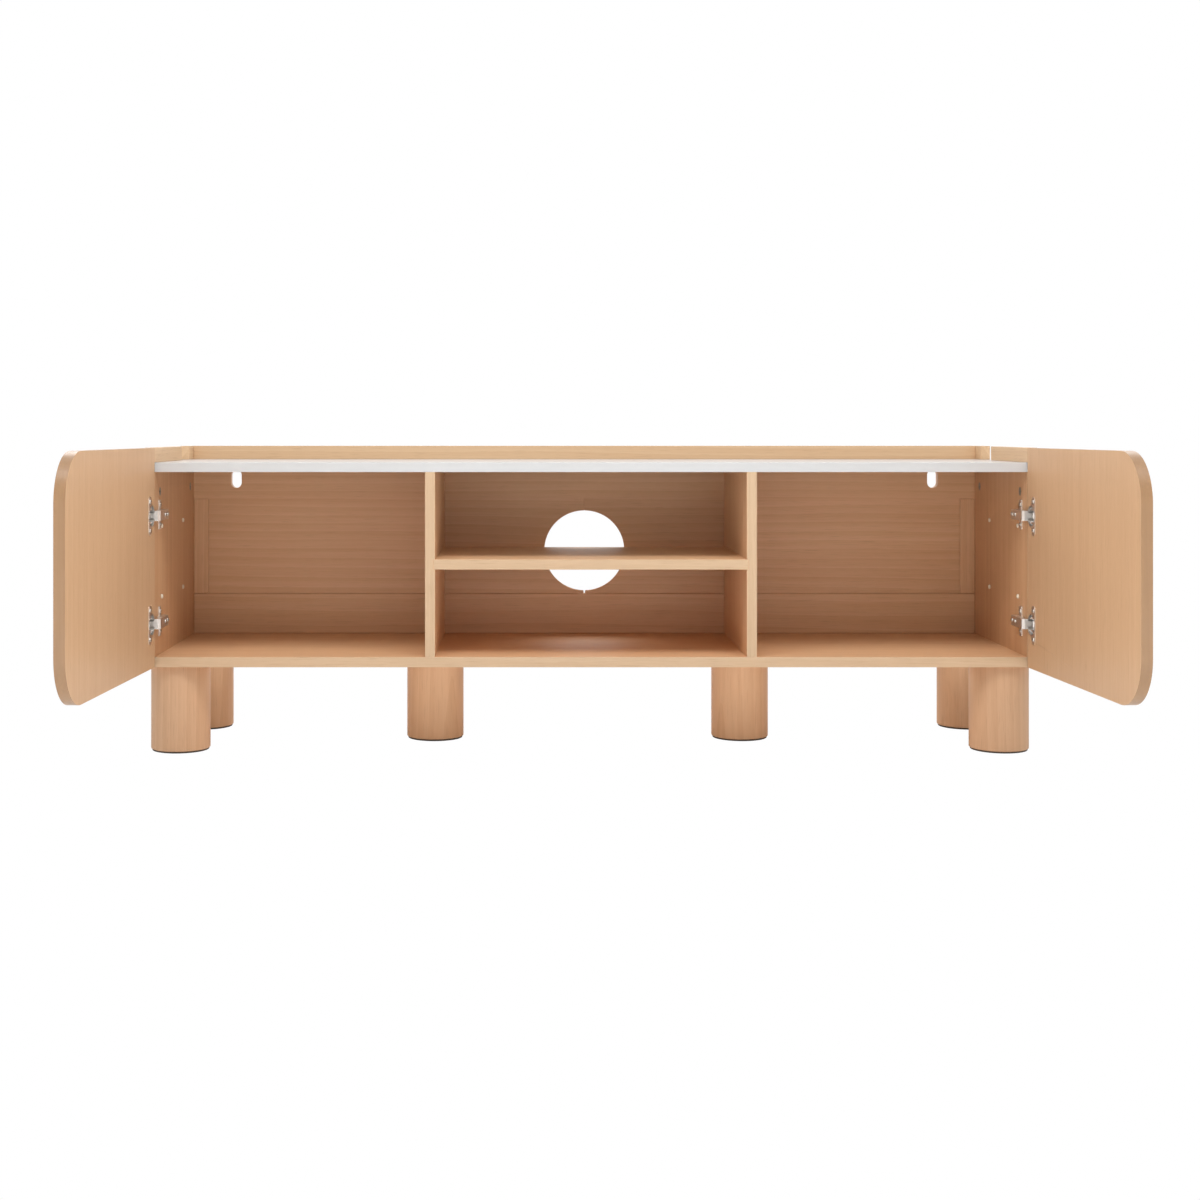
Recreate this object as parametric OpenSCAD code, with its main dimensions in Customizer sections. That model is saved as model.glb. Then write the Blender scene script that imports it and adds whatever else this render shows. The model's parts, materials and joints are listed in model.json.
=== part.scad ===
// Low media cabinet: a veneered carcass on six round legs, a white top board with a low gallery,
// an open centre with one shelf, and two side bays behind doors with rounded free corners.
// Millimetres. X runs across the front, +Y to the back and +Z up. The doors are drawn open.
// The origin is on the floor, mid-width, midway between the open doors' front and the back.

/* [Carcass] */
// Width over the two side panels
body_w = 1500; // [1400:10:1800]
// Depth of the carcass without the doors
body_d = 370; // [350:5:420]
// Thickness of the veneered boards
board = 17; // [16:0.5:18]
// Clear height between the bottom panel and the top board
inner_h = 311; // [300:1:360]
// Thickness of the white top board
top_t = 16; // [15:0.5:18]
// Middle of the cabinet to the middle of a divider
divider_x = 270.5; // [240:0.5:300]

/* [Shelf] */
// Depth of the centre shelf
shelf_d = 325; // [280:5:330]
// Depth of the housings in the dividers that hold the shelf
housing = 3; // [2:0.5:5]

/* [Gallery] */
// Height of the strips that stand on the top board
gallery_h = 25; // [15:1:40]
// Length of the side strips, from the front
gallery_run = 238; // [200:1:240]
// Cable gap between a side strip and its rear return
gallery_gap = 72; // [50:1:80]

/* [Back] */
// Height of the upper back rail
rail_top_h = 58; // [50:1:70]
// Height of the lower back rail
rail_low_h = 75; // [60:1:80]
// Width of the end stiles
stile_w = 28; // [22:1:40]
// Thickness of the thin back panels
back_t = 5; // [4:0.5:6]
// How far the thin panels lie behind the faces of the rails
back_set = 5; // [3:0.5:6]
// Diameter of the round cable hole
hole_d = 150; // [100:1:156]
// Width of the two cable slots
slot_w = 20; // [14:1:26]
// Height of the two cable slots
slot_h = 34; // [28:1:36]
// Middle of the cabinet to the middle of a cable slot
slot_x = 653; // [500:1:660]

/* [Legs] */
// Diameter of a leg
leg_d = 100; // [70:1:110]
// Height of a leg above its pad
leg_h = 144; // [100:1:200]
// Thickness of the pad under a leg
pad_t = 3; // [2:0.5:5]
// Front of the carcass to the middle of the front legs
leg_front = 58; // [56:1:70]
// Distance from one row of legs to the next
leg_row = 121; // [110:1:125]

/* [Doors] */
// Angle at which the doors stand open
door_open = 93; // [60:1:98]
// Radius of the free corners of a door
door_r = 75; // [30:1:110]
// Gap between a closed door and the carcass
door_gap = 3.8; // [3.6:0.1:5]
// Reveal round a closed door
door_reveal = 1; // [0.5:0.5:2]

/* [Hinges] */
// Upper face of the bottom panel to the middle of the lower hinges
hinge_low = 57; // [45:1:80]
// Upper face of the bottom panel to the middle of the upper hinges
hinge_high = 238; // [200:1:245]
// Diameter of a hinge cup
cup_d = 35; // [35:0.5:36]
// Depth of a hinge cup
cup_h = 12.5; // [12:0.1:13]
// Edge of the door to the hinge pin
pin_edge = 8; // [7.5:0.1:8.2]
// Inner face of the door to the hinge pin
pin_in = 8.5; // [8.4:0.1:8.8]

/* [Hidden] */
$fn = 64;

oak = "burlywood";
edge_x = body_w / 2;
face_x = edge_x - board;
under_z = pad_t + leg_h;
floor_z = under_z + board;
ceil_z = floor_z + inner_h;
top_z = ceil_z + top_t;
rim_z = top_z + gallery_h;
shelf_z = floor_z + (inner_h - board) / 2;
divider_in = divider_x - board / 2;
divider_out = divider_x + board / 2;

// Doors: the pin lies inside the cup, and the door turns about it
door_w = edge_x - door_reveal - divider_in - door_reveal;
door_low = under_z + door_reveal / 2;
door_high = rim_z - door_reveal / 2;
pin_x = edge_x - door_reveal - pin_edge;
pin_front = door_gap + pin_in;
reach = pin_front + (door_w - pin_edge) * sin(door_open) - pin_in * cos(door_open);
front_y = (reach - body_d) / 2;
rear_y = front_y + body_d;
back_y = rear_y - board;
pin_y = front_y - pin_front;
hinge_zs = [floor_z + hinge_low, floor_z + hinge_high];

// Hinge hardware
cup_wall = 0.8;
cup_edge = 3.5;
cup_play = 0.1;
flange_t = 1;
flange_h = 65;
flange_w = 16;
cup_screw_z = 24;
pin_r = 1.25;
pin_play = 0.05;
eye_r = 2.4;
arm_t = 8;
arm_w = 17;
hook_t = 4;
tongue_t = 2;
tongue_w = 9;
tongue_end = 10.4;
arm_end = 60;
plate_t = 4;
plate_w = 17;
plate_near = 20;
plate_far = 62;
wing_w = 14;
wing_h = 50;
plate_hole_y = 37;
plate_hole_z = 17;
arm_screw_ys = [33, 52];
arm_screw = 10;
plate_screw = 12;
cup_screw = 10;
screw_r = 2;
head_r = 3.6;
head_t = 1.6;
slot_cut = 0.9;

// Fittings of the carcass
cam_r = 7.5;
cam_h = 12;
cam_drop = 34;
cam_ys = [45, 320];
cross_r = 5;
cross_h = 3;
cam_bolt_r = 3;
cam_bolt_in = 11;
cam_bolt_play = 1;
dowel_r = 4;
dowel_h = 28;
dowel_in = 12;
dowel_ys = [60, 300];
socket_r = 4;
socket_head = 0.8;
socket_shank_r = 2.5;
socket_shank = 8;
socket_ys = [56, 245];
socket_zs = [97, 218];
bolt_r = 4;
bolt_up = 12;
bolt_down = 40;
groove_h = 8;
groove_play = 0.5;
seam_w = 3;
bore_over = 1;
slot_under = 4;

leg_x = edge_x - leg_d / 2;

// A box given by its low and high corners
module block(low, high) {
    translate(low) cube([for (i = [0:2]) high[i] - low[i]]);
}

// Draws its children on the left (side -1) or as their mirror image on the right (side 1)
module on_side(side) {
    if (side < 0) children();
    else mirror([1, 0, 0]) children();
}

// An upright pill: slot_w wide, slot_h high, its lowest point at z = 0
module slot_shape() {
    for (z = [slot_w / 2, slot_h - slot_w / 2]) translate([0, z]) circle(d = slot_w);
    translate([-slot_w / 2, slot_w / 2]) square([slot_w, slot_h - slot_w]);
}

// Dowels that stand across a joint at height z, centred on x
module dowel_row(x, z, rise, drop) {
    for (y = dowel_ys) translate([x, front_y + y, z - drop])
        cylinder(r = dowel_r, h = rise + drop);
}

module low_dowels(x) dowel_row(x, floor_z, dowel_h - dowel_in, dowel_in);

module high_dowels(x) dowel_row(x, ceil_z, dowel_in, dowel_h - dowel_in);

module all_dowels() {
    for (x = [-edge_x + board / 2, -divider_x, divider_x, edge_x - board / 2]) low_dowels(x);
    for (x = [-divider_x, divider_x]) high_dowels(x);
}

// Cam bolts run from just above a cam up into the top board
module cam_bolt_row(side) {
    down = cam_drop - cam_r - cam_bolt_play;
    for (y = cam_ys) translate([side * (edge_x - board / 2), front_y + y, ceil_z - down])
        cylinder(r = cam_bolt_r, h = down + cam_bolt_in);
}

module cam_discs(depth, radius) {
    for (y = cam_ys) translate([-face_x, front_y + y, ceil_z - cam_drop])
        rotate([0, -90, 0]) cylinder(r = radius, h = depth);
}

// Hanger bolts of the legs
leg_places = [
    for (x = [-leg_x, leg_x]) for (row = [0, 2]) [x, front_y + leg_front + row * leg_row],
    for (x = [-divider_x, divider_x]) [x, front_y + leg_front + leg_row]
];

module leg_bolt_set() {
    for (p = leg_places) translate([p[0], p[1], under_z - bolt_down])
        cylinder(r = bolt_r, h = bolt_down + bolt_up);
}

// Carcass
module bottom_panel() {
    color(oak) difference() {
        block([-edge_x, front_y, under_z], [edge_x, rear_y, floor_z]);
        leg_bolt_set();
        all_dowels();
    }
}

module side_panel() {
    color(oak) difference() {
        block([-edge_x, front_y, floor_z], [-face_x, rear_y, ceil_z]);
        low_dowels(-edge_x + board / 2);
        cam_bolt_row(-1);
        cam_discs(cam_h, cam_r);
        socket_shanks();
        for (z = hinge_zs) translate([0, 0, z]) plate_screw_bores();
    }
}

module divider() {
    color(oak) difference() {
        block([-divider_out, front_y, floor_z], [-divider_in, back_y, ceil_z]);
        low_dowels(-divider_x);
        high_dowels(-divider_x);
        block([-divider_in - housing, front_y - bore_over, shelf_z],
            [-divider_in + bore_over, front_y + shelf_d, shelf_z + board]);
    }
}

module centre_shelf() {
    color(oak) block([-divider_in - housing, front_y, shelf_z],
        [divider_in + housing, front_y + shelf_d, shelf_z + board]);
}

module top_board() {
    color("whitesmoke") difference() {
        block([-edge_x, front_y, ceil_z], [edge_x, rear_y, top_z]);
        all_dowels();
        for (side = [-1, 1]) cam_bolt_row(side);
    }
}

// Gallery
module gallery_side() {
    color(oak) block([-edge_x, front_y, top_z], [-face_x, front_y + gallery_run, rim_z]);
}

module gallery_return() {
    color(oak) block([-edge_x, front_y + gallery_run + gallery_gap, top_z],
        [-face_x, back_y, rim_z]);
}

module gallery_back() {
    color(oak) block([-edge_x, back_y, top_z], [edge_x, rear_y, rim_z]);
}

// Back
panel_y = back_y + back_set;

module back_rail(low, high, groove_low, groove_high) {
    difference() {
        block([-face_x, back_y, low], [face_x, rear_y, high]);
        block([-face_x + stile_w - groove_h, panel_y, groove_low],
            [face_x - stile_w + groove_h, panel_y + back_t, groove_high]);
    }
}

module back_top_rail() {
    low = ceil_z - rail_top_h;
    color(oak) difference() {
        back_rail(low, ceil_z, low - bore_over, low + groove_h);
        for (side = [-1, 1])
            translate([side * slot_x, rear_y + bore_over, ceil_z - slot_h - slot_under])
                rotate([90, 0, 0]) linear_extrude(board + 2 * bore_over) slot_shape();
    }
}

module back_bottom_rail() {
    high = floor_z + rail_low_h;
    color(oak) back_rail(floor_z, high, high - groove_h, high + bore_over);
}

module back_stile() {
    low = floor_z + rail_low_h;
    high = ceil_z - rail_top_h;
    color(oak) difference() {
        block([-face_x, back_y, low], [-face_x + stile_w, rear_y, high]);
        block([-face_x + stile_w - groove_h, panel_y, low - bore_over],
            [-face_x + stile_w + bore_over, panel_y + back_t, high + bore_over]);
    }
}

module back_panel() {
    low = floor_z + rail_low_h;
    tuck = groove_h - groove_play;
    middle_z = floor_z + inner_h / 2;
    color(oak) difference() {
        block([-face_x + stile_w - tuck, panel_y, low - tuck],
            [0, panel_y + back_t, ceil_z - rail_top_h + tuck]);
        translate([0, panel_y - bore_over, middle_z]) rotate([-90, 0, 0])
            cylinder(d = hole_d, h = back_t + 2 * bore_over);
        block([-seam_w / 2, panel_y - bore_over, low - tuck - bore_over],
            [bore_over, panel_y + back_t + bore_over, middle_z]);
    }
}

// Legs
module leg(x, row) {
    color(oak) difference() {
        translate([x, front_y + leg_front + row * leg_row, pad_t])
            cylinder(d = leg_d, h = leg_h, $fn = 96);
        leg_bolt_set();
    }
}

module pad(x, row) {
    color("dimgray") translate([x, front_y + leg_front + row * leg_row, 0])
        cylinder(d = leg_d - 4, h = pad_t, $fn = 96);
}

// Doors: drawn closed with the pin's axis at the origin, then turned open
module at_pin() {
    translate([-pin_x, pin_y, 0]) children();
}

module opened() {
    at_pin() rotate([0, 0, -door_open]) children();
}

module door_outline() {
    free_x = door_w - pin_edge;
    for (z = [door_low + door_r, door_high - door_r]) translate([free_x - door_r, z])
        circle(r = door_r, $fn = 96);
    translate([free_x - door_r, door_low + door_r])
        square([door_r, door_high - door_low - 2 * door_r]);
    translate([-pin_edge, door_low]) square([door_w - door_r, door_high - door_low]);
}

cup_x = cup_edge + cup_d / 2 - pin_edge;

// Runs from the door's inner face inwards, with a given radius and depth
module cup_cylinder(radius, depth, proud) {
    translate([cup_x, pin_in + proud, 0]) rotate([90, 0, 0])
        cylinder(r = radius, h = depth + proud, $fn = 72);
}

screw_x = cup_x + 9.5;

module cup_screw_bores(radius, depth) {
    for (z = [-cup_screw_z, cup_screw_z]) translate([screw_x, pin_in, z])
        rotate([90, 0, 0]) cylinder(r = radius, h = depth);
}

module door() {
    color(oak) opened() difference() {
        translate([0, pin_in, 0]) rotate([90, 0, 0]) linear_extrude(board) door_outline();
        for (z = hinge_zs) translate([0, 0, z]) {
            cup_cylinder(cup_d / 2 + cup_play, cup_h + cup_play, bore_over);
            cup_screw_bores(screw_r, cup_screw);
        }
    }
}

// Hinge cup with its flange, at height z
module flange() {
    difference() {
        translate([0, pin_in + flange_t, 0]) rotate([90, 0, 0]) linear_extrude(flange_t) {
            for (z = [-1, 1]) translate([screw_x, z * (flange_h / 2 - flange_w / 2)])
                circle(d = flange_w);
            translate([screw_x - flange_w / 2, flange_w / 2 - flange_h / 2])
                square([flange_w, flange_h - flange_w]);
            translate([cup_x, 0]) circle(d = cup_d + 3, $fn = 72);
        }
        cup_cylinder(cup_d / 2 - cup_wall, cup_h - cup_wall, flange_t + bore_over);
        translate([0, flange_t, 0]) cup_screw_bores(screw_r, flange_t);
    }
}

module hinge_cup(z) {
    color("silver") opened() translate([0, 0, z]) difference() {
        union() {
            difference() {
                cup_cylinder(cup_d / 2, cup_h, 0);
                cup_cylinder(cup_d / 2 - cup_wall, cup_h - cup_wall, bore_over);
            }
            flange();
        }
        hinge_pin();
    }
}

pin_half = sqrt(pow(cup_d / 2 - cup_play, 2) - pow(cup_x + pin_r, 2));

module hinge_pin() {
    translate([0, 0, -pin_half]) cylinder(r = pin_r, h = 2 * pin_half, $fn = 32);
}

module hinge_pins() {
    color("gainsboro") opened() for (z = hinge_zs) translate([0, 0, z]) hinge_pin();
}

// Cranked arm: a narrow tongue with an eye on the pin, then a wide bar along the side panel
bar_x = face_x - pin_x;
bar_in = -bar_x + plate_t;

module tongue_plan() {
    circle(r = eye_r, $fn = 48);
    translate([0, -tongue_t / 2]) square([bar_in, tongue_t]);
}

module bar_plan() {
    inner = bar_in;
    outer = bar_in + arm_t;
    half = tongue_t / 2;
    end = pin_front + arm_end;
    polygon([
        [tongue_end, -half], [outer - hook_t, -half], [outer, hook_t - half],
        [outer, end - hook_t], [outer - hook_t, end], [inner, end],
        [inner, half + tongue_t], [inner - half / 2, half], [tongue_end, half]
    ]);
}

module hinge_arm(z) {
    color("silver") at_pin() translate([0, 0, z]) difference() {
        union() {
            translate([0, 0, -tongue_w / 2]) linear_extrude(tongue_w) tongue_plan();
            translate([0, 0, -arm_w / 2]) linear_extrude(arm_w) bar_plan();
        }
        translate([0, 0, -arm_w / 2 - bore_over])
            cylinder(r = pin_r + pin_play, h = arm_w + 2 * bore_over, $fn = 32);
        arm_screw_bores();
    }
}

module arm_screw_bores() {
    for (y = arm_screw_ys) translate([bar_in + arm_t - arm_screw, pin_front + y, 0])
        rotate([0, 90, 0]) cylinder(r = screw_r, h = arm_screw, $fn = 32);
}

// Cross-shaped mounting plate on the inner face of the side panel
module hinge_plate(z) {
    color("silver") translate([-face_x, front_y, z]) difference() {
        union() {
            block([0, plate_near, -plate_w / 2], [plate_t, plate_far, plate_w / 2]);
            block([0, plate_hole_y - wing_w / 2, -wing_h / 2],
                [plate_t / 2, plate_hole_y + wing_w / 2, wing_h / 2]);
        }
        plate_holes(screw_r, 0, plate_t);
        translate([face_x - pin_x, -pin_front, 0]) arm_screw_bores();
    }
}

// Round holes along X at the plate's two fixing points
module plate_holes(radius, start, length) {
    for (z = [-plate_hole_z, plate_hole_z]) translate([start, plate_hole_y, z])
        rotate([0, 90, 0]) cylinder(r = radius, h = length, $fn = 32);
}

module plate_screw_bores() {
    translate([-face_x, front_y, 0]) plate_holes(screw_r, -plate_screw, plate_screw);
}

// A screw along +X: the head's underside at the origin, with a slot across it
module screw(shank) {
    difference() {
        union() {
            translate([-shank, 0, 0]) rotate([0, 90, 0])
                cylinder(r = screw_r, h = shank, $fn = 32);
            rotate([0, 90, 0]) cylinder(r = head_r, h = head_t, $fn = 32);
        }
        block([head_t / 2, -head_r, -slot_cut / 2], [head_t + 1, head_r, slot_cut / 2]);
    }
}

module hinge_plate_screws() {
    color("gainsboro") for (side = [-1, 1]) on_side(side) for (z = hinge_zs) {
        for (dz = [-plate_hole_z, plate_hole_z])
            translate([-face_x + plate_t / 2, front_y + plate_hole_y, z + dz])
                screw(plate_screw);
        for (y = arm_screw_ys)
            translate([-face_x + plate_t + arm_t, front_y + y, z]) screw(arm_screw);
    }
}

module cup_screws() {
    color("gainsboro") opened() for (z = hinge_zs) for (dz = [-cup_screw_z, cup_screw_z])
        translate([screw_x, pin_in + flange_t, z + dz]) rotate([0, 0, 90]) screw(cup_screw);
}

// Fittings
module cam_locks() {
    color("darkgray") for (side = [-1, 1]) on_side(side) difference() {
        cam_discs(cam_h, cam_r);
        for (y = cam_ys) translate([-face_x - cross_h, front_y + y, ceil_z - cam_drop]) {
            block([0, -cross_r, -slot_cut], [cross_h + 1, cross_r, slot_cut]);
            block([0, -slot_cut, -cross_r], [cross_h + 1, slot_cut, cross_r]);
        }
    }
}

module cam_bolts() {
    color("gainsboro") for (side = [-1, 1]) cam_bolt_row(side);
}

module socket_set(start, radius, length) {
    for (y = socket_ys) for (z = socket_zs)
        translate([start - face_x, front_y + y, floor_z + z])
            rotate([0, 90, 0]) cylinder(r = radius, h = length, $fn = 32);
}

module socket_shanks() {
    socket_set(-socket_shank, socket_shank_r, socket_shank);
}

module shelf_pin_sockets() {
    color("wheat") for (side = [-1, 1]) on_side(side) {
        socket_shanks();
        socket_set(0, socket_r, socket_head);
    }
}

module dowels() {
    color("wheat") all_dowels();
}

module leg_bolts() {
    color("gainsboro") leg_bolt_set();
}

bottom_panel();
side_panel();  // left_side_panel
on_side(1) side_panel();  // right_side_panel
divider();  // left_divider
on_side(1) divider();  // right_divider
centre_shelf();
top_board();
gallery_side();  // gallery_left
on_side(1) gallery_side();  // gallery_right
gallery_back();
gallery_return();  // gallery_return_left
on_side(1) gallery_return();  // gallery_return_right
back_top_rail();
back_bottom_rail();
back_stile();  // back_stile_left
on_side(1) back_stile();  // back_stile_right
back_panel();  // back_panel_left
on_side(1) back_panel();  // back_panel_right
leg(-leg_x, 0);  // leg_front_left
leg(leg_x, 0);  // leg_front_right
leg(-divider_x, 1);  // leg_middle_left
leg(divider_x, 1);  // leg_middle_right
leg(-leg_x, 2);  // leg_rear_left
leg(leg_x, 2);  // leg_rear_right
pad(-leg_x, 0);  // pad_front_left
pad(leg_x, 0);  // pad_front_right
pad(-divider_x, 1);  // pad_middle_left
pad(divider_x, 1);  // pad_middle_right
pad(-leg_x, 2);  // pad_rear_left
pad(leg_x, 2);  // pad_rear_right
door();  // left_door
on_side(1) door();  // right_door
hinge_cup(hinge_zs[0]);  // hinge_cup_left_low
hinge_cup(hinge_zs[1]);  // hinge_cup_left_high
on_side(1) hinge_cup(hinge_zs[0]);  // hinge_cup_right_low
on_side(1) hinge_cup(hinge_zs[1]);  // hinge_cup_right_high
hinge_pins();  // hinge_pins_left
on_side(1) hinge_pins();  // hinge_pins_right
hinge_arm(hinge_zs[0]);  // hinge_arm_left_low
hinge_arm(hinge_zs[1]);  // hinge_arm_left_high
on_side(1) hinge_arm(hinge_zs[0]);  // hinge_arm_right_low
on_side(1) hinge_arm(hinge_zs[1]);  // hinge_arm_right_high
hinge_plate(hinge_zs[0]);  // hinge_plate_left_low
hinge_plate(hinge_zs[1]);  // hinge_plate_left_high
on_side(1) hinge_plate(hinge_zs[0]);  // hinge_plate_right_low
on_side(1) hinge_plate(hinge_zs[1]);  // hinge_plate_right_high
hinge_plate_screws();
cup_screws();  // cup_screws_left
on_side(1) cup_screws();  // cup_screws_right
cam_locks();
cam_bolts();
shelf_pin_sockets();
dowels();
leg_bolts();
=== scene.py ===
import json
import math
import bmesh
import bpy
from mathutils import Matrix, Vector


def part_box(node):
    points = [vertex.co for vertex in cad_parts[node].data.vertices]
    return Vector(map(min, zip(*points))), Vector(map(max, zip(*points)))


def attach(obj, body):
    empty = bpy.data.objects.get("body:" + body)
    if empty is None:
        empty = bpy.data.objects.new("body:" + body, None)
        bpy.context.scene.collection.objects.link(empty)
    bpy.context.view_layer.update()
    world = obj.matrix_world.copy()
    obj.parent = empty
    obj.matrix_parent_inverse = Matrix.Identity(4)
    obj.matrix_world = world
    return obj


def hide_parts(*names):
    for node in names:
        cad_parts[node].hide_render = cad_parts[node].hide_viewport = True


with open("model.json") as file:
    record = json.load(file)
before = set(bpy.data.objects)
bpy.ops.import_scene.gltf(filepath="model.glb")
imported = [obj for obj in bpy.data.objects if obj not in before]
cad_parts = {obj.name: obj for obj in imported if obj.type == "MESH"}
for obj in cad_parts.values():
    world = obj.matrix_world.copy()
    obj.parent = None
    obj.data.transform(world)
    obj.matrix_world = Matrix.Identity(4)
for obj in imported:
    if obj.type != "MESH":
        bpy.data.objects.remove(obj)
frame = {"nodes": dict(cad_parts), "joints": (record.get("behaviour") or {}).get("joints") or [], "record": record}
nodes = frame["nodes"]
bodyOf = {node: body for body, group in frame["record"]["behaviour"]["bodies"].items() for node in group}
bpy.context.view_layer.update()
mm = 0.001
print("frame loaded,", len(nodes), "nodes")

# Camera: level, a little left of the middle, at the height of the white board's upper side
view = {"place": (-0.1058, -2.964, 0.5457), "lens": 54.0, "shift": (0.06, -0.1417)}
cameraData = bpy.data.cameras.new("view")
cameraData.sensor_width = 36.0
cameraData.lens = view["lens"]
cameraData.shift_x, cameraData.shift_y = view["shift"]
camera = bpy.data.objects.new("view", cameraData)
camera.location = view["place"]
camera.rotation_euler = (math.pi / 2, 0, 0)
bpy.context.scene.collection.objects.link(camera)
bpy.context.scene.camera = camera

scene = bpy.context.scene
scene.view_settings.view_transform = "Standard"


def linkNew(name, data):
    made = bpy.data.objects.new(name, data)
    scene.collection.objects.link(made)
    return made


class Wire:  # one output of a node; sums and products of wires add Math nodes
    def __init__(self, graph, socket):
        self.graph, self.socket = graph, socket

    def maths(self, operation, first, second):
        return self.graph.add("ShaderNodeMath", {"operation": operation}, {0: first, 1: second})

    def __add__(self, other):
        return self.maths("ADD", self, other)

    def __sub__(self, other):
        return self.maths("SUBTRACT", self, other)

    def __rsub__(self, other):
        return self.maths("SUBTRACT", other, self)

    def __mul__(self, other):
        return self.maths("MULTIPLY", self, other)

    __radd__, __rmul__ = __add__, __mul__


class Graph:  # a node tree, of a material or of Geometry Nodes
    def __init__(self, tree):
        self.tree = tree

    def add(self, kind, settings=None, sockets=None, out=0):
        node = self.tree.nodes.new(kind)
        for key, value in (settings or {}).items():
            setattr(node, key, value)
        for key, value in (sockets or {}).items():
            for one in value if isinstance(value, list) else [value]:
                if isinstance(one, Wire):
                    self.tree.links.new(one.socket, node.inputs[key])
                else:
                    node.inputs[key].default_value = one
        return Wire(self, node.outputs[out]) if node.outputs else None

    def mix(self, factor, first, second):
        return self.add("ShaderNodeMix", {"data_type": "RGBA"}, {0: factor, 6: first, 7: second}, 2)

    def noise(self, place, stretch, detail, roughness=0.5):
        spread = self.add("ShaderNodeVectorMath", {"operation": "MULTIPLY"}, {0: place, 1: stretch})
        return self.add("ShaderNodeTexNoise", {}, {"Vector": spread, "Scale": 1.0, "Detail": detail,
                                                   "Roughness": roughness}, "Fac")

    def ranged(self, value, low, high, toLow=0.0, toHigh=1.0):
        return self.add("ShaderNodeMapRange", {}, {"Value": value, "From Min": low, "From Max": high,
                                                   "To Min": toLow, "To Max": toHigh})


def newFinish(name):
    material = bpy.data.materials.new(name)
    material.use_nodes = True
    material.node_tree.nodes.clear()
    return material, Graph(material.node_tree)


def close(graph, sockets, height, strength, distance):  # a shader with relief
    sockets["Normal"] = graph.add("ShaderNodeBump", {}, {"Height": height, "Strength": strength,
                                                         "Distance": distance}, "Normal")
    shader = graph.add("ShaderNodeBsdfPrincipled", {}, sockets, "BSDF")
    graph.add("ShaderNodeOutputMaterial", {}, {"Surface": shader})


# Studio: pale floor, white surroundings and soft lamps
plain, cool = (1, 1, 1), (0.82, 0.96, 1.0)  # the cool lamps even out the warm light below the body
studio = {
    "white": 1.0,
    "skyLight": 0.50,
    "mirrorLight": 0.40,
    "floorHalf": 4.5,
    "floorColour": (0.97, 0.97, 0.968, 1),
    "floorRoughness": 0.85,
    "lamps": [  # name, place, aim, width, height, watts, spread in degrees, colour
        ("topLamp", (0.0, -1.25, 2.7), (0, 0.0, 0.25), 3.2, 1.0, 60, 180, plain),
        ("floorLamp", (0.0, -1.9, 2.6), (0, -1.9, 0), 4.5, 1.0, 44, 60, plain),
        ("frontLamp", (0.0, -4.5, 0.5), (0, 0.1, 0.1), 4.0, 0.7, 8, 180, plain),
        ("backLamp", (0.0, 2.6, 2.6), (0, 0.1, 0.2), 4.0, 1.8, 72, 180, plain),
        ("underLamp", (0.0, 0.085, 0.125), (0, 0.4, 0.04), 1.25, 0.03, 0.21, 170, cool),
        ("rearUnderLamp", (0.0, 0.26, 0.125), (0, 0.6, 0.04), 1.4, 0.03, 0.16, 170, cool),
    ],
}
scene.world = bpy.data.worlds.new("studio")
scene.world.use_nodes = True
scene.world.node_tree.nodes.clear()
graph = Graph(scene.world.node_tree)
seen = graph.add("ShaderNodeLightPath", out="Is Camera Ray")
mirrored = graph.add("ShaderNodeLightPath", out="Is Glossy Ray")
skyStrength = (seen * (studio["white"] - studio["skyLight"]) + mirrored * studio["mirrorLight"]
               + studio["skyLight"])
surroundings = graph.add("ShaderNodeBackground", {}, {"Color": (1, 1, 1, 1), "Strength": skyStrength})
graph.add("ShaderNodeOutputWorld", {}, {"Surface": surroundings})
for name, place, aim, width, height, watts, spread, colour in studio["lamps"]:
    lamp = bpy.data.lights.new(name, "AREA")
    lamp.shape = "RECTANGLE"
    lamp.size, lamp.size_y, lamp.energy = width, height, watts
    lamp.spread, lamp.color = math.radians(spread), colour
    lampObject = linkNew(name, lamp)
    lampObject.visible_camera = False
    lampObject.location = place
    lampObject.rotation_euler = (Vector(aim) - Vector(place)).to_track_quat("-Z", "Y").to_euler()
print("camera and studio set")

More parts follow.
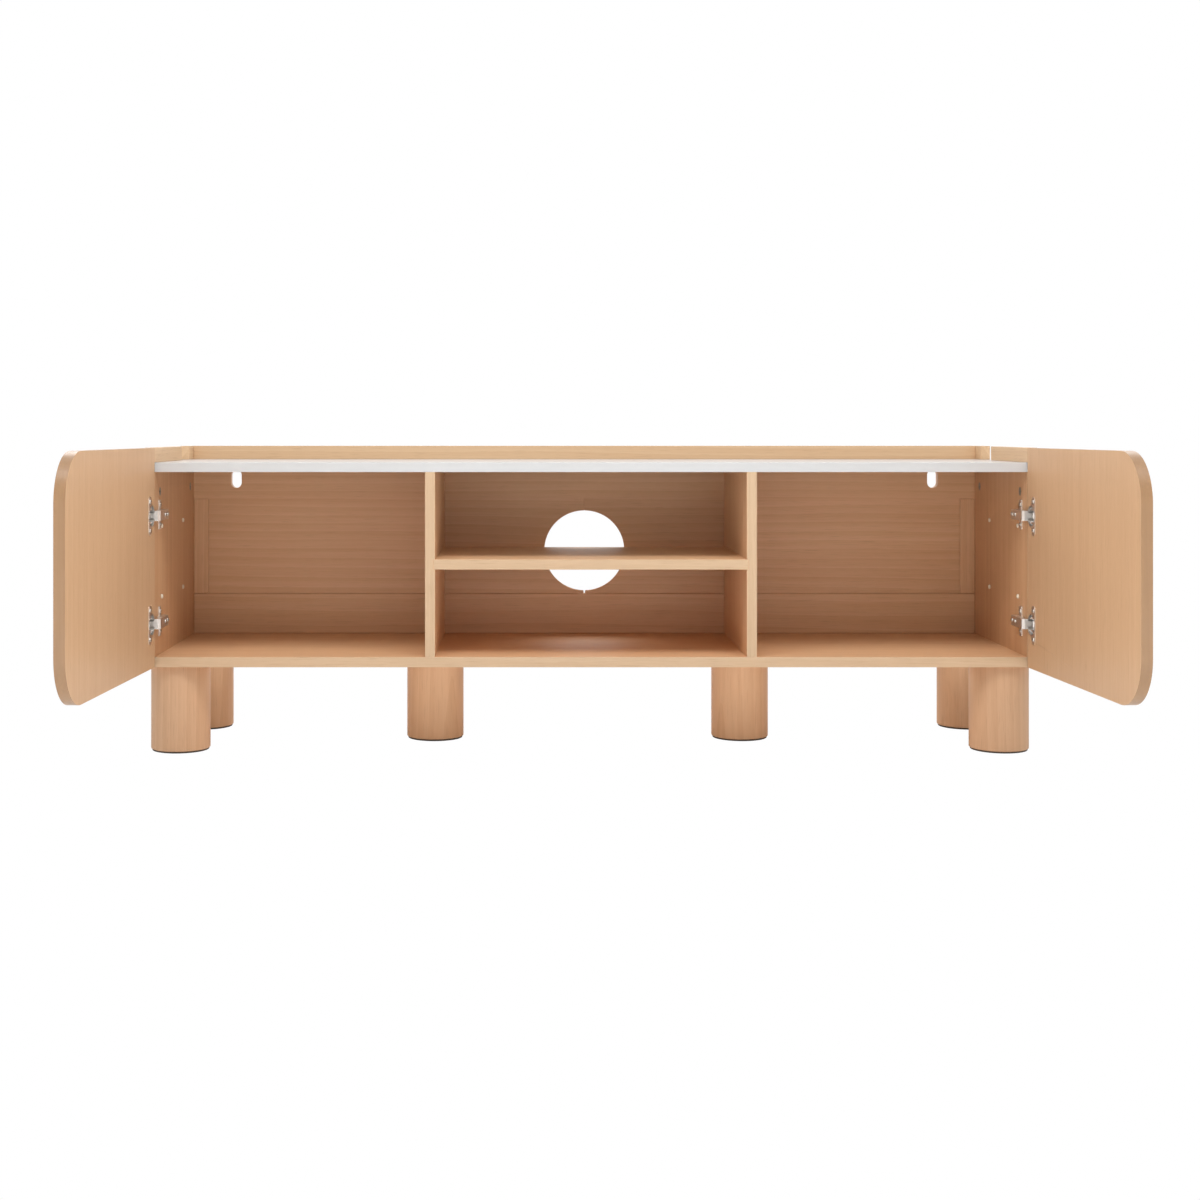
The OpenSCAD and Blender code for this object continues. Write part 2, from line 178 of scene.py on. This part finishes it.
# Veneer: growth rings cut flat, long fibres and short pores
veneerLook = {
    "tones": {  # light and dark wood of each kind of face, with painted light in one tone and painted shade in another
        "carcass": ((0.715, 0.438, 0.243, 1), (0.605, 0.338, 0.171, 1)),
        # painted light: the bottom, dividers and shelf carry the carcass veneer, made lighter here in place of the
        # shade inside the bays
        "inner": ((0.800, 0.500, 0.285, 1), (0.690, 0.395, 0.205, 1)),
        "gallery": ((0.745, 0.510, 0.305, 1), (0.650, 0.410, 0.228, 1)),
        "door": ((0.645, 0.410, 0.236, 1), (0.580, 0.347, 0.188, 1)),
        "band": ((0.620, 0.440, 0.277, 1), (0.545, 0.365, 0.217, 1)),
        # painted shade: the doors' edge band is a darker copy of the edge band, standing in for the shade on the
        # open doors' edges
        "doorBand": ((0.360, 0.200, 0.088, 1), (0.275, 0.144, 0.062, 1)),
        "leg": ((0.670, 0.425, 0.262, 1), (0.575, 0.340, 0.195, 1)),
        "dowel": ((0.740, 0.550, 0.360, 1), (0.640, 0.440, 0.270, 1)),
    },
    "pore": (0.340, 0.190, 0.100, 1),
    "ringSpacing": 11 * mm,
    "ringUnit": 0.314,  # the wave's scale for rings one metre apart
    "ringStretch": 0.022,
    "bendY": 24 * mm,  # how far the rings wander
    "bendZ": 18 * mm,
    "fibre": (5, 330, 330),  # each pattern's repeats in a metre, along the grain and across it
    "streak": (1.1, 46, 46),
    "poreSize": (26, 1400, 1400),
    "patch": (1.4, 4.5, 4.5),
    "wander": (0.9, 6, 6),
    "fibreDepth": 0.34,
    "streakDepth": 0.36,
    "ringDepth": 0.44,
    "patchDepth": 0.22,
    "poreDepth": 0.30,
    "roughness": 0.42,
    "plainCoat": 0.06,
    "coat": {"doorBand": 0.6, "leg": 0.0},  # where it differs from plainCoat
    "shine": {"leg": 0.2},
    "relief": 0.16,
}
turns = {"x": (0, 0, 0), "y": (0, 0, -math.pi / 2), "z": (0, math.pi / 2, 0)}


def veneer(name, grain, seed, tone, ringDepth=veneerLook["ringDepth"]):
    look = veneerLook
    light, dark = look["tones"][tone]
    material, graph = newFinish(name)
    place = graph.add("ShaderNodeTexCoord", out="Object")
    along = graph.add("ShaderNodeMapping", {}, {"Vector": place, "Rotation": turns[grain]})
    shift = (0.37 * seed, 0.043 * math.sin(seed), 0.061 * math.cos(2.3 * seed))  # another log for each seed
    spot = graph.add("ShaderNodeVectorMath", {"operation": "ADD"}, {0: along, 1: shift})
    bend = graph.noise(spot, look["wander"], 2.0)
    bent = graph.add("ShaderNodeCombineXYZ", {}, {"Y": bend * look["bendY"], "Z": bend * look["bendZ"]})
    squeezed = graph.add("ShaderNodeVectorMath", {"operation": "MULTIPLY"},
                         {0: spot, 1: (look["ringStretch"], 1, 1)})
    ringPlace = graph.add("ShaderNodeVectorMath", {"operation": "ADD"}, {0: squeezed, 1: bent})
    rings = graph.add("ShaderNodeTexWave", {"wave_type": "RINGS", "rings_direction": "SPHERICAL",
                                            "wave_profile": "SAW"},
                      {"Vector": ringPlace, "Scale": look["ringUnit"] / look["ringSpacing"],
                       "Distortion": 0.5, "Detail": 2.0, "Detail Scale": 1.4}, "Fac")
    fibres = graph.noise(spot, look["fibre"], 4.0, 0.62)
    streaks = graph.noise(spot, look["streak"], 2.0, 0.55)
    pores = graph.ranged(graph.noise(spot, look["poreSize"], 1.0), 0.60, 0.72)
    patches = graph.noise(spot, look["patch"], 1.0)
    shade = (graph.ranged(fibres, 0.3, 0.7) * look["fibreDepth"]
             + graph.ranged(streaks, 0.3, 0.7) * look["streakDepth"] + rings * ringDepth)
    grainTone = graph.mix(graph.ranged(shade, 0.15, 1.05), light, dark)
    toned = graph.mix(graph.ranged(patches, 0.35, 0.65, 0.0, look["patchDepth"]), grainTone, dark)
    colour = graph.mix(pores * look["poreDepth"], toned, look["pore"])
    close(graph, {"Base Color": colour, "Roughness": look["roughness"] + fibres * 0.10 + pores * 0.12,
                  "Coat Weight": look["coat"].get(tone, look["plainCoat"]), "Coat Roughness": 0.3,
                  "Specular IOR Level": look["shine"].get(tone, 0.5)},
          fibres * 0.35 + rings * 0.15 - pores * 0.8, look["relief"], 0.4 * mm)
    return material


whiteLook = {"cool": (0.560, 0.564, 0.567, 1), "warm": (0.590, 0.588, 0.584, 1), "roughness": 0.14,
             "peel": (900, 900, 900), "cloud": (3, 3, 3)}


def whiteBoard():
    material, graph = newFinish("whiteMelamine")
    place = graph.add("ShaderNodeTexCoord", out="Object")
    peel = graph.noise(place, whiteLook["peel"], 2.0)
    cloud = graph.noise(place, whiteLook["cloud"], 2.0)
    close(graph, {"Base Color": graph.mix(cloud, whiteLook["cool"], whiteLook["warm"]),
                  "Roughness": whiteLook["roughness"] + peel * 0.06 + cloud * 0.05}, peel, 0.05, 0.2 * mm)
    return material


def metal(name, base, worn, roughness, streakAlong, relief):
    material, graph = newFinish(name)
    place = graph.add("ShaderNodeTexCoord", out="Object")
    streaks = graph.noise(place, streakAlong, 3.0, 0.6)
    specks = graph.ranged(graph.noise(place, (700, 700, 700), 1.0), 0.55, 0.75)
    close(graph, {"Base Color": graph.mix(streaks * 0.6 + specks * 0.2, base, worn), "Metallic": 1.0,
                  "Roughness": roughness + streaks * 0.12 + specks * 0.08},
          streaks * 0.6 + specks * 0.4, relief, 0.1 * mm)
    return material


def plastic(name, base, shade, roughness, grainSize, relief):
    material, graph = newFinish(name)
    place = graph.add("ShaderNodeTexCoord", out="Object")
    grit = graph.noise(place, (1 / grainSize,) * 3, 3.0, 0.6)
    close(graph, {"Base Color": graph.mix(grit, base, shade), "Roughness": roughness + grit * 0.12},
          grit, relief, 0.3 * mm)
    return material


metals = {  # light metal, worn metal, roughness, streaks in a metre along each axis, relief
    "nickel": ((0.90, 0.88, 0.85, 1), (0.72, 0.70, 0.67, 1), 0.27, (60, 60, 900), 0.06),
    "pinSteel": ((0.62, 0.61, 0.60, 1), (0.45, 0.44, 0.43, 1), 0.22, (900, 900, 60), 0.06),
    "screwSteel": ((0.70, 0.69, 0.66, 1), (0.42, 0.41, 0.39, 1), 0.22, (400, 400, 400), 0.06),
    "zincAlloy": ((0.46, 0.45, 0.43, 1), (0.28, 0.27, 0.26, 1), 0.38, (350, 350, 350), 0.15),
}
plastics = {  # light tone, dark tone, roughness, grain size, relief
    "creamPlastic": ((0.86, 0.79, 0.66, 1), (0.80, 0.72, 0.58, 1), 0.34, 2 * mm, 0.05),
    "darkFelt": ((0.060, 0.045, 0.036, 1), (0.115, 0.090, 0.072, 1), 0.80, 0.6 * mm, 0.5),
}
white = whiteBoard()
nickel, pinSteel, screwSteel, zinc = [metal(name, *look) for name, look in metals.items()]
cream, felt = [plastic(name, *look) for name, look in plastics.items()]
beech = veneer("beechDowel", "z", 31, "dowel", 0.2)
print("shared finishes made")


def settled(obj):  # modifiers go into the mesh
    depsgraph = bpy.context.evaluated_depsgraph_get()
    mesh = bpy.data.meshes.new_from_object(obj.evaluated_get(depsgraph))
    obj.modifiers.clear()
    obj.data = mesh
    return obj


def easedCopy(node, width, segments=2):  # the node's own shape with its hard edges eased
    mesh = nodes[node].data.copy()
    mesh.materials.clear()
    shape = bmesh.new()
    shape.from_mesh(mesh)
    bmesh.ops.remove_doubles(shape, verts=shape.verts, dist=1e-6)
    bmesh.ops.dissolve_limit(shape, angle_limit=math.radians(0.5), verts=shape.verts, edges=shape.edges)
    for face in shape.faces:
        face.smooth = True
    shape.to_mesh(mesh)
    shape.free()
    mesh.set_sharp_from_angle(angle=math.radians(30))
    piece = linkNew(node + "Eased", mesh)
    bevel = piece.modifiers.new("ease", "BEVEL")
    bevel.width, bevel.segments = width, segments
    bevel.limit_method, bevel.angle_limit = "ANGLE", math.radians(40)
    bevel.harden_normals = True
    return settled(piece)


def dress(piece, main, edge=None, isEdge=None):
    piece.data.materials.clear()
    piece.data.materials.append(main)
    for face in piece.data.polygons:
        face.material_index = 0
    if edge is not None:
        piece.data.materials.append(edge)
        for face in piece.data.polygons:
            face.material_index = 1 if isEdge(face.normal) else 0


def settle(piece, body, slot, *replaced):
    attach(piece, body)
    if replaced:
        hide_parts(*replaced)


facesFront = lambda normal: normal.y < -0.6
facesUp = lambda normal: normal.z > 0.6
boards = {  # each board's grain and the side that carries an edge band
    "bottom_panel": ("x", facesFront),
    "left_side_panel": ("z", facesFront),
    "right_side_panel": ("z", facesFront),
    "left_divider": ("z", facesFront),
    "right_divider": ("z", facesFront),
    "centre_shelf": ("x", facesFront),
    "gallery_left": ("y", facesUp),
    "gallery_right": ("y", facesUp),
    "gallery_back": ("x", facesUp),
    "gallery_return_left": ("y", facesUp),
    "gallery_return_right": ("y", facesUp),
    "back_top_rail": ("x", None),
    "back_bottom_rail": ("x", None),
    "back_stile_left": ("z", None),
    "back_stile_right": ("z", None),
    "back_panel_left": ("x", None),
    "back_panel_right": ("x", None),
}
innerBoards = ("bottom_panel", "left_divider", "right_divider", "centre_shelf")
boardLook = {"ease": {"board": 0.7 * mm, "rail": 1.8 * mm, "panel": 0.9 * mm}, "topEase": 0.8 * mm,
             "bandRings": 0.25, "bandSeed": 40}
for seed, (node, (grain, side)) in enumerate(boards.items(), 1):
    kind = "panel" if node.startswith("back_panel") else "rail" if node.startswith("back_") else "board"
    piece = easedCopy(node, boardLook["ease"][kind])
    # the bay boards take the lighter copy of the veneer, which is painted light
    tone = "gallery" if node.startswith("gallery") else "inner" if node in innerBoards else "carcass"
    face = veneer(node + "Veneer", grain, seed, tone)
    band = veneer(node + "Band", grain, seed + boardLook["bandSeed"], "band",
                  boardLook["bandRings"]) if side else None
    dress(piece, face, band, side)
    settle(piece, bodyOf[node], "wood_veneer", node)

top = easedCopy("top_board", boardLook["topEase"], 3)
dress(top, white)
settle(top, "cabinet", "white_board", "top_board")
print("boards veneered")

# Doors: upright grain on both faces, a band round the whole edge
doorLook = {"ease": 1.0 * mm, "faceRings": 0.24, "bandRings": 0.2}
openAngle = math.radians(frame["joints"][0]["range_deg"][1])
inward = {"left_door": Vector((math.sin(openAngle), math.cos(openAngle), 0)),
          "right_door": Vector((-math.sin(openAngle), math.cos(openAngle), 0))}
for seed, (node, normal) in enumerate(inward.items(), 21):
    door = easedCopy(node, doorLook["ease"], 3)
    # the door edges take the darker band, which is painted shade
    band = veneer(node + "Band", "z", seed + boardLook["bandSeed"], "doorBand", doorLook["bandRings"])
    dress(door, veneer(node + "Veneer", "z", seed, "door", doorLook["faceRings"]), band,
          lambda n, axis=normal: abs(n.dot(axis)) < 0.6)
    settle(door, node, "wood_veneer", node)
print("doors made")


def turned(name, middle, profile, segments):  # a lathe shape about an upright axis, from pole to pole
    shape = bmesh.new()
    rings = []
    for radius, height in profile:
        if radius == 0:
            rings.append([shape.verts.new((middle.x, middle.y, height))])
            continue
        rings.append([shape.verts.new((middle.x + radius * math.cos(2 * math.pi * i / segments),
                                       middle.y + radius * math.sin(2 * math.pi * i / segments), height))
                      for i in range(segments)])
    for lower, upper in zip(rings, rings[1:]):
        for i in range(segments):
            j = (i + 1) % segments
            corners = [lower[i % len(lower)], lower[j % len(lower)],
                       upper[j % len(upper)], upper[i % len(upper)]]
            shape.faces.new(list(dict.fromkeys(corners))).smooth = True  # a pole counts once
    bmesh.ops.recalc_face_normals(shape, faces=shape.faces)
    mesh = bpy.data.meshes.new(name)
    shape.to_mesh(mesh)
    shape.free()
    mesh.set_sharp_from_angle(angle=math.radians(50))
    return linkNew(name, mesh)


def corner(radius, height, ease, steps, rising):  # points of a rounded corner at (radius, height)
    points = []
    for i in range(steps + 1):
        angle = math.pi / 2 * i / steps
        if rising:
            points.append((radius - ease + ease * math.sin(angle), height + ease - ease * math.cos(angle)))
        else:
            points.append((radius - ease + ease * math.cos(angle), height - ease + ease * math.sin(angle)))
    return points


# Legs and pads
legLook = {"ease": 1.6 * mm, "segments": 128, "padEase": 0.9 * mm}
for seed, node in enumerate(sorted(n for n in nodes if n.startswith("leg_") and n != "leg_bolts"), 51):
    low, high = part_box(node)
    middle, radius = (low + high) / 2, (high.x - low.x) / 2
    profile = ([(0, low.z)] + corner(radius, low.z, legLook["ease"], 4, True)
               + [(radius, low.z + (high.z - low.z) * step / 4) for step in (1, 2, 3)]
               + corner(radius, high.z, legLook["ease"] / 3, 3, False) + [(0, high.z)])
    leg = turned(node + "Turned", middle, profile, legLook["segments"])
    dress(leg, veneer(node + "Wood", "z", seed, "leg"))
    settle(leg, "cabinet", "wood_veneer", node)
    padNode = node.replace("leg_", "pad_")
    low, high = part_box(padNode)
    radius = (high.x - low.x) / 2
    profile = ([(0, low.z)] + corner(radius, low.z, legLook["padEase"], 3, True)
               + corner(radius, high.z, legLook["padEase"] / 2, 2, False) + [(0, high.z)])
    padPiece = turned(padNode + "Felt", middle, profile, legLook["segments"])
    dress(padPiece, felt)
    settle(padPiece, "cabinet", "leg_pad", padNode)
print("legs and pads turned")

# Hinges
hingeEase = 0.25 * mm
for node in sorted(n for n in nodes if n.startswith("hinge_") and n != "hinge_plate_screws"):
    piece = easedCopy(node, hingeEase)
    dress(piece, pinSteel if "pins" in node else nickel)
    settle(piece, bodyOf[node], "nickelled_steel", node)

# Link cheeks inside the cups: measured from the hinge pin, along the door and towards its inner face
cheek = {"near": 4.5 * mm, "far": 21.5 * mm, "deep": -3.0 * mm, "mouth": 7.4 * mm, "gap": 9.4 * mm,
         "outside": 12.4 * mm, "ease": 1.2 * mm}


def doorPoint(side, along, inwards, height):
    low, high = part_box("hinge_pins_" + side)
    pin = (low + high) / 2
    across = along * math.cos(openAngle) + inwards * math.sin(openAngle)
    back = inwards * math.cos(openAngle) - along * math.sin(openAngle)
    return (pin.x + (across if side == "left" else -across), pin.y + back, height)


boxFaces = ((0, 1, 3, 2), (4, 5, 7, 6), (0, 1, 5, 4), (2, 3, 7, 6), (0, 2, 6, 4), (1, 3, 7, 5))
for side in ("left", "right"):
    shape = bmesh.new()
    for level in ("low", "high"):
        low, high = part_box(f"hinge_cup_{side}_{level}")
        middle = (low.z + high.z) / 2
        for sign in (-1, 1):
            corners = [shape.verts.new(doorPoint(side, along, inwards, middle + sign * height))
                       for along in (cheek["near"], cheek["far"])
                       for inwards in (cheek["deep"], cheek["mouth"])
                       for height in (cheek["gap"], cheek["outside"])]
            for ring in boxFaces:
                shape.faces.new([corners[i] for i in ring])
    bmesh.ops.recalc_face_normals(shape, faces=shape.faces)
    mouth = [edge for edge in shape.edges if abs(edge.verts[0].co.z - edge.verts[1].co.z) > mm]
    bmesh.ops.bevel(shape, geom=mouth, offset=cheek["ease"], segments=4, profile=0.5, affect="EDGES")
    mesh = bpy.data.meshes.new(side + "CupCheeks")
    shape.to_mesh(mesh)
    shape.free()
    cheeks = linkNew(side + "CupCheeks", mesh)
    dress(cheeks, nickel)
    settle(cheeks, side + "_door", "nickelled_steel")
print("hinges plated")


def heads(node, outward):  # each solid of a node as (middle of its outer end, outward direction, length)
    shape = bmesh.new()
    shape.from_mesh(nodes[node].data)
    bmesh.ops.remove_doubles(shape, verts=shape.verts, dist=1e-6)
    left, found = set(shape.verts), []
    while left:
        group, queue = set(), [left.pop()]
        while queue:
            vertex = queue.pop()
            group.add(vertex)
            for edge in vertex.link_edges:
                other = edge.other_vert(vertex)
                if other in left:
                    left.discard(other)
                    queue.append(other)
        places = [vertex.co.copy() for vertex in group]
        centre = sum(places, Vector()) / len(places)
        axis = outward(centre)
        reach = [place.dot(axis) for place in places]
        end = [place for place, far in zip(places, reach) if far > max(reach) - 0.1 * mm]
        middle = sum(end, Vector()) / len(end)
        found.append((middle, axis, max(reach) - min(reach)))
    shape.free()
    return sorted(found, key=lambda item: tuple(round(value, 5) for value in item[0]))


def treeWith(name, inputs):  # an empty Geometry Nodes tree with named inputs and a geometry output
    tree = bpy.data.node_groups.new(name, "GeometryNodeTree")
    tree.interface.new_socket(name="Geometry", in_out="INPUT", socket_type="NodeSocketGeometry")
    for label, (kind, value) in inputs.items():
        made = tree.interface.new_socket(name=label, in_out="INPUT", socket_type=kind)
        if value is not None:
            made.default_value = value
    tree.interface.new_socket(name="Geometry", in_out="OUTPUT", socket_type="NodeSocketGeometry")
    graph = Graph(tree)
    entry = tree.nodes.new("NodeGroupInput")
    return tree, graph, {socket.name: Wire(graph, socket) for socket in entry.outputs}


def moved(graph, geometry, offset=(0, 0, 0), turn=(0, 0, 0)):
    return graph.add("GeometryNodeTransform", {}, {"Geometry": geometry, "Translation": offset,
                                                   "Rotation": turn})


def vector(graph, x, y, z):
    return graph.add("ShaderNodeCombineXYZ", {}, {"X": x, "Y": y, "Z": z})


def rod(graph, radius, length, top, vertices=32, taper=None):  # upright, its upper end at height top
    body = graph.add("GeometryNodeMeshCone", {}, {
        "Vertices": vertices, "Depth": length, "Radius Bottom": radius,
        "Radius Top": radius if taper is None else taper})
    return moved(graph, body, vector(graph, 0, 0, top - length))


def cross(graph, span, width, depth, top):  # two bars that cut a cross-shaped recess
    bars = []
    for turn in (0, math.pi / 2):
        bar = graph.add("GeometryNodeMeshCube", {}, {"Size": vector(graph, span, width, depth * 2)})
        bars.append(moved(graph, bar, vector(graph, 0, 0, top), (0, 0, turn)))
    return bars


def without(graph, solid, cutters):
    return graph.add("GeometryNodeMeshBoolean", {"operation": "DIFFERENCE"},
                     {"Mesh 1": solid, "Mesh 2": cutters})


def joined(graph, solids):
    return graph.add("GeometryNodeMeshBoolean", {"operation": "UNION"}, {"Mesh 2": solids})


def finishTree(graph, inputs, part):  # the part on every point, turned to the point's axis
    axis = graph.add("GeometryNodeInputNamedAttribute", {"data_type": "FLOAT_VECTOR"}, {"Name": "axis"})
    turn = graph.add("FunctionNodeAlignRotationToVector", {"axis": "Z"}, {"Vector": axis})
    shaded = graph.add("GeometryNodeSetShadeSmooth", {}, {"Geometry": part, "Shade Smooth": False})
    copies = graph.add("GeometryNodeInstanceOnPoints", {}, {"Points": inputs["Geometry"], "Instance": shaded,
                                                            "Rotation": turn})
    real = graph.add("GeometryNodeRealizeInstances", {}, {"Geometry": copies})
    painted = graph.add("GeometryNodeSetMaterial", {}, {"Geometry": real, "Material": inputs["Material"]})
    graph.add("NodeGroupOutput", {}, {"Geometry": painted})


def spread(name, tree, values, spots, body, slot, replaced):
    mesh = bpy.data.meshes.new(name)
    mesh.from_pydata([spot for spot, _, _ in spots], [], [])
    axes = mesh.attributes.new("axis", "FLOAT_VECTOR", "POINT")
    for i, (_, axis, _) in enumerate(spots):
        axes.data[i].vector = axis
    piece = linkNew(name, mesh)
    modifier = piece.modifiers.new("spread", "NODES")
    modifier.node_group = tree
    labels = {item.name: item.identifier for item in tree.interface.items_tree if item.in_out == "INPUT"}
    for label, value in values.items():
        modifier[labels[label]] = value
    settled(piece)
    settle(piece, body, slot, *replaced)


# Screws: pan heads with a cross recess
screwSize = {"headRadius": 3.6 * mm, "headHeight": 1.6 * mm, "shankRadius": 1.9 * mm, "recess": 4.2 * mm,
             "recessWidth": 0.9 * mm, "recessDepth": 1.0 * mm}
sizeKind = "NodeSocketFloat"
screwTree, graph, given = treeWith("panHeadScrews", {
    "Head Radius": (sizeKind, screwSize["headRadius"]), "Head Height": (sizeKind, screwSize["headHeight"]),
    "Shank Radius": (sizeKind, screwSize["shankRadius"]), "Shank Length": (sizeKind, 10 * mm),
    "Recess Span": (sizeKind, screwSize["recess"]), "Recess Width": (sizeKind, screwSize["recessWidth"]),
    "Recess Depth": (sizeKind, screwSize["recessDepth"]), "Material": ("NodeSocketMaterial", None)})
skirt = rod(graph, given["Head Radius"], given["Head Height"] * 0.55, given["Head Height"] * -0.45)
dome = rod(graph, given["Head Radius"], given["Head Height"] * 0.45, 0.0, taper=given["Head Radius"] * 0.68)
shank = rod(graph, given["Shank Radius"], given["Shank Length"], given["Head Height"] * -0.98, 20)
recess = cross(graph, given["Recess Span"], given["Recess Width"], given["Recess Depth"], 0.0)
finishTree(graph, given, without(graph, joined(graph, [skirt, dome, shank]), recess))

toMiddle = lambda centre: Vector((1 if centre.x < 0 else -1, 0, 0))
plateSpots = heads("hinge_plate_screws", toMiddle)
longest = max(length for _, _, length in plateSpots)
groups = {
    "plateScrews": ([s for s in plateSpots if s[2] > longest - mm], "cabinet", ["hinge_plate_screws"]),
    "armScrews": ([s for s in plateSpots if s[2] <= longest - mm], "cabinet", []),
    "leftCupScrews": (heads("cup_screws_left", lambda c: inward["left_door"]), "left_door",
                      ["cup_screws_left"]),
    "rightCupScrews": (heads("cup_screws_right", lambda c: inward["right_door"]), "right_door",
                       ["cup_screws_right"]),
}
for name, (spots, body, replaced) in groups.items():
    spread(name, screwTree, {"Shank Length": spots[0][2] - screwSize["headHeight"], "Material": screwSteel},
           spots, body, "nickelled_steel", replaced)
print("screws placed")

# Sockets for shelf pins: a collar with a hole, standing a little proud
socketTree, graph, given = treeWith("pinSockets", {
    "Collar Radius": (sizeKind, 3.9 * mm), "Collar Height": (sizeKind, 2.6 * mm),
    "Raise": (sizeKind, 1.6 * mm), "Shank Radius": (sizeKind, 2.45 * mm), "Shank Length": (sizeKind, 8 * mm),
    "Hole Radius": (sizeKind, 1.6 * mm), "Material": ("NodeSocketMaterial", None)})
width, tall, rise = given["Collar Radius"], given["Collar Height"], given["Raise"]
collar = rod(graph, width, tall * 0.6, rise - tall * 0.4)
lip = rod(graph, width, tall * 0.4, rise, taper=width * 0.72)
shank = rod(graph, given["Shank Radius"], given["Shank Length"], rise - tall * 0.98, 24)
hole = rod(graph, given["Hole Radius"], given["Shank Length"] * 1.4, given["Shank Length"] * 0.5, 24)
finishTree(graph, given, without(graph, joined(graph, [collar, lip, shank]), [hole]))
spread("pinSockets", socketTree, {"Material": cream}, heads("shelf_pin_sockets", toMiddle), "cabinet",
       "cream_plastic", ["shelf_pin_sockets"])

# Cam locks: a disc with a rim and a cross recess
camTree, graph, given = treeWith("camDiscs", {
    "Disc Radius": (sizeKind, 7.4 * mm), "Disc Depth": (sizeKind, 12 * mm), "Rim Width": (sizeKind, 0.9 * mm),
    "Recess Span": (sizeKind, 10 * mm), "Recess Width": (sizeKind, 1.8 * mm),
    "Recess Depth": (sizeKind, 3 * mm), "Material": ("NodeSocketMaterial", None)})
rim = given["Rim Width"]
disc = rod(graph, given["Disc Radius"], given["Disc Depth"], 0.0, 48)
dish = rod(graph, given["Disc Radius"] - rim, rim, rim * 0.5, 48)
recess = cross(graph, given["Recess Span"], given["Recess Width"], given["Recess Depth"], 0.0)
finishTree(graph, given, without(graph, disc, [dish] + recess))
spread("camDiscs", camTree, {"Material": zinc}, heads("cam_locks", toMiddle), "cabinet", "zinc_alloy",
       ["cam_locks"])
print("sockets and cam locks placed")

# Fittings inside the boards keep their own shape
for node, finish in {"dowels": beech, "leg_bolts": screwSteel, "cam_bolts": screwSteel}.items():
    nodes[node].data.materials.clear()
    nodes[node].data.materials.append(finish)

# Floor
half = studio["floorHalf"]
floorMesh = bpy.data.meshes.new("floor")
floorCorners = [(-half, -half, 0), (half, -half, 0), (half, half, 0), (-half, half, 0)]
floorMesh.from_pydata(floorCorners, [], [(0, 1, 2, 3)])
floor = linkNew("floor", floorMesh)
floorPaint, graph = newFinish("paleFloor")
paint = graph.add("ShaderNodeBsdfPrincipled", {}, {
    "Base Color": studio["floorColour"], "Roughness": studio["floorRoughness"]}, "BSDF")
bare = graph.add("ShaderNodeEmission", {}, {"Strength": studio["white"]})
shown = graph.add("ShaderNodeMixShader", {}, {
    "Fac": graph.add("ShaderNodeLightPath", out="Is Camera Ray"), 1: paint, 2: bare})
graph.add("ShaderNodeOutputMaterial", {}, {"Surface": shown})
floorMesh.materials.append(floorPaint)
